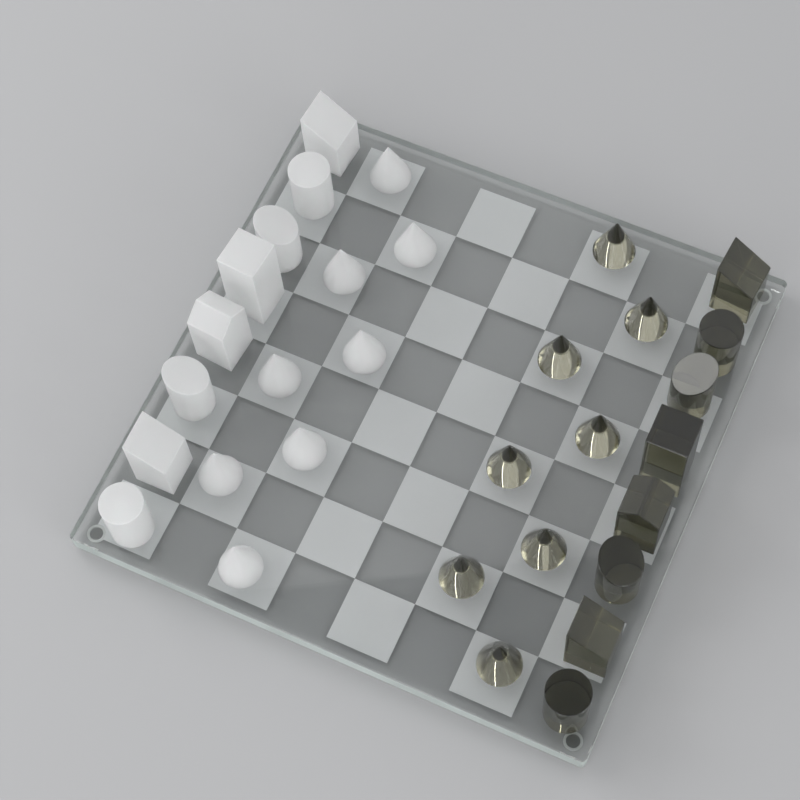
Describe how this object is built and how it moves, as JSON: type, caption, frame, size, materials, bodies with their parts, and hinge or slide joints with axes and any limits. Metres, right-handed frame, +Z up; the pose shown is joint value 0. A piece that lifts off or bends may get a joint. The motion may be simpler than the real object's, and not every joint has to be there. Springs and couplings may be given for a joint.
{
  "type": "glass chess set with board",
  "caption": "Modern glass chess set: geometric frosted and smoke glass men standing on a thick clear glass board with an etched checker and round bumper feet.",
  "frame": {"origin": "centre of the board's footprint, on the surface that the feet stand on", "axes": "+Z up; +X from the frosted men's side of the board to the smoke men's side; +Y away from the front edge"},
  "size_m": [0.35, 0.35, 0.0836],
  "materials": {
    "clear_glass": "polished clear plate glass, the underside acid-etched in a checker of satin squares",
    "bumper": "translucent soft bumper, smooth",
    "frosted_glass": "satin acid-etched white glass, soft and translucent, with bright chamfered edges",
    "smoke_glass": "polished clear crystal tinted olive-grey, with sharp highlights on the chamfered edges"
  },
  "bodies": {
    "board": {"board_plate": "clear_glass", "foot_front_left": "bumper", "foot_front_right": "bumper", "foot_back_left": "bumper", "foot_back_right": "bumper"},
    "frosted_rook_front": {"frosted_rook_front": "frosted_glass"},
    "frosted_knight_front": {"frosted_knight_front": "frosted_glass"},
    "frosted_bishop_front": {"frosted_bishop_front": "frosted_glass"},
    "frosted_queen": {"frosted_queen": "frosted_glass"},
    "frosted_king": {"frosted_king": "frosted_glass"},
    "frosted_bishop_back": {"frosted_bishop_back": "frosted_glass"},
    "frosted_rook_back": {"frosted_rook_back": "frosted_glass"},
    "frosted_knight_back": {"frosted_knight_back": "frosted_glass"},
    "frosted_pawn_1": {"frosted_pawn_1": "frosted_glass"},
    "frosted_pawn_2": {"frosted_pawn_2": "frosted_glass"},
    "frosted_pawn_3": {"frosted_pawn_3": "frosted_glass"},
    "frosted_pawn_4": {"frosted_pawn_4": "frosted_glass"},
    "frosted_pawn_5": {"frosted_pawn_5": "frosted_glass"},
    "frosted_pawn_6": {"frosted_pawn_6": "frosted_glass"},
    "frosted_pawn_7": {"frosted_pawn_7": "frosted_glass"},
    "frosted_pawn_8": {"frosted_pawn_8": "frosted_glass"},
    "smoke_rook_front": {"smoke_rook_front": "smoke_glass"},
    "smoke_knight_front": {"smoke_knight_front": "smoke_glass"},
    "smoke_bishop_front": {"smoke_bishop_front": "smoke_glass"},
    "smoke_queen": {"smoke_queen": "smoke_glass"},
    "smoke_king": {"smoke_king": "smoke_glass"},
    "smoke_bishop_back": {"smoke_bishop_back": "smoke_glass"},
    "smoke_rook_back": {"smoke_rook_back": "smoke_glass"},
    "smoke_knight_back": {"smoke_knight_back": "smoke_glass"},
    "smoke_pawn_1": {"smoke_pawn_1": "smoke_glass"},
    "smoke_pawn_2": {"smoke_pawn_2": "smoke_glass"},
    "smoke_pawn_3": {"smoke_pawn_3": "smoke_glass"},
    "smoke_pawn_4": {"smoke_pawn_4": "smoke_glass"},
    "smoke_pawn_5": {"smoke_pawn_5": "smoke_glass"},
    "smoke_pawn_6": {"smoke_pawn_6": "smoke_glass"},
    "smoke_pawn_7": {"smoke_pawn_7": "smoke_glass"},
    "smoke_pawn_8": {"smoke_pawn_8": "smoke_glass"}
  },
  "joints": [
    {"name": "frosted_rook_front_lift", "type": "slide", "parent": "board", "child": "frosted_rook_front", "axis": [0, 0, 1], "range_m": [0, 0.08]},
    {"name": "frosted_knight_front_lift", "type": "slide", "parent": "board", "child": "frosted_knight_front", "axis": [0, 0, 1], "range_m": [0, 0.08]},
    {"name": "frosted_bishop_front_lift", "type": "slide", "parent": "board", "child": "frosted_bishop_front", "axis": [0, 0, 1], "range_m": [0, 0.08]},
    {"name": "frosted_queen_lift", "type": "slide", "parent": "board", "child": "frosted_queen", "axis": [0, 0, 1], "range_m": [0, 0.08]},
    {"name": "frosted_king_lift", "type": "slide", "parent": "board", "child": "frosted_king", "axis": [0, 0, 1], "range_m": [0, 0.08]},
    {"name": "frosted_bishop_back_lift", "type": "slide", "parent": "board", "child": "frosted_bishop_back", "axis": [0, 0, 1], "range_m": [0, 0.08]},
    {"name": "frosted_rook_back_lift", "type": "slide", "parent": "board", "child": "frosted_rook_back", "axis": [0, 0, 1], "range_m": [0, 0.08]},
    {"name": "frosted_knight_back_lift", "type": "slide", "parent": "board", "child": "frosted_knight_back", "axis": [0, 0, 1], "range_m": [0, 0.08]},
    {"name": "frosted_pawn_1_lift", "type": "slide", "parent": "board", "child": "frosted_pawn_1", "axis": [0, 0, 1], "range_m": [0, 0.08]},
    {"name": "frosted_pawn_2_lift", "type": "slide", "parent": "board", "child": "frosted_pawn_2", "axis": [0, 0, 1], "range_m": [0, 0.08]},
    {"name": "frosted_pawn_3_lift", "type": "slide", "parent": "board", "child": "frosted_pawn_3", "axis": [0, 0, 1], "range_m": [0, 0.08]},
    {"name": "frosted_pawn_4_lift", "type": "slide", "parent": "board", "child": "frosted_pawn_4", "axis": [0, 0, 1], "range_m": [0, 0.08]},
    {"name": "frosted_pawn_5_lift", "type": "slide", "parent": "board", "child": "frosted_pawn_5", "axis": [0, 0, 1], "range_m": [0, 0.08]},
    {"name": "frosted_pawn_6_lift", "type": "slide", "parent": "board", "child": "frosted_pawn_6", "axis": [0, 0, 1], "range_m": [0, 0.08]},
    {"name": "frosted_pawn_7_lift", "type": "slide", "parent": "board", "child": "frosted_pawn_7", "axis": [0, 0, 1], "range_m": [0, 0.08]},
    {"name": "frosted_pawn_8_lift", "type": "slide", "parent": "board", "child": "frosted_pawn_8", "axis": [0, 0, 1], "range_m": [0, 0.08]},
    {"name": "smoke_rook_front_lift", "type": "slide", "parent": "board", "child": "smoke_rook_front", "axis": [0, 0, 1], "range_m": [0, 0.08]},
    {"name": "smoke_knight_front_lift", "type": "slide", "parent": "board", "child": "smoke_knight_front", "axis": [0, 0, 1], "range_m": [0, 0.08]},
    {"name": "smoke_bishop_front_lift", "type": "slide", "parent": "board", "child": "smoke_bishop_front", "axis": [0, 0, 1], "range_m": [0, 0.08]},
    {"name": "smoke_queen_lift", "type": "slide", "parent": "board", "child": "smoke_queen", "axis": [0, 0, 1], "range_m": [0, 0.08]},
    {"name": "smoke_king_lift", "type": "slide", "parent": "board", "child": "smoke_king", "axis": [0, 0, 1], "range_m": [0, 0.08]},
    {"name": "smoke_bishop_back_lift", "type": "slide", "parent": "board", "child": "smoke_bishop_back", "axis": [0, 0, 1], "range_m": [0, 0.08]},
    {"name": "smoke_rook_back_lift", "type": "slide", "parent": "board", "child": "smoke_rook_back", "axis": [0, 0, 1], "range_m": [0, 0.08]},
    {"name": "smoke_knight_back_lift", "type": "slide", "parent": "board", "child": "smoke_knight_back", "axis": [0, 0, 1], "range_m": [0, 0.08]},
    {"name": "smoke_pawn_1_lift", "type": "slide", "parent": "board", "child": "smoke_pawn_1", "axis": [0, 0, 1], "range_m": [0, 0.08]},
    {"name": "smoke_pawn_2_lift", "type": "slide", "parent": "board", "child": "smoke_pawn_2", "axis": [0, 0, 1], "range_m": [0, 0.08]},
    {"name": "smoke_pawn_3_lift", "type": "slide", "parent": "board", "child": "smoke_pawn_3", "axis": [0, 0, 1], "range_m": [0, 0.08]},
    {"name": "smoke_pawn_4_lift", "type": "slide", "parent": "board", "child": "smoke_pawn_4", "axis": [0, 0, 1], "range_m": [0, 0.08]},
    {"name": "smoke_pawn_5_lift", "type": "slide", "parent": "board", "child": "smoke_pawn_5", "axis": [0, 0, 1], "range_m": [0, 0.08]},
    {"name": "smoke_pawn_6_lift", "type": "slide", "parent": "board", "child": "smoke_pawn_6", "axis": [0, 0, 1], "range_m": [0, 0.08]},
    {"name": "smoke_pawn_7_lift", "type": "slide", "parent": "board", "child": "smoke_pawn_7", "axis": [0, 0, 1], "range_m": [0, 0.08]},
    {"name": "smoke_pawn_8_lift", "type": "slide", "parent": "board", "child": "smoke_pawn_8", "axis": [0, 0, 1], "range_m": [0, 0.08]}
  ]
}
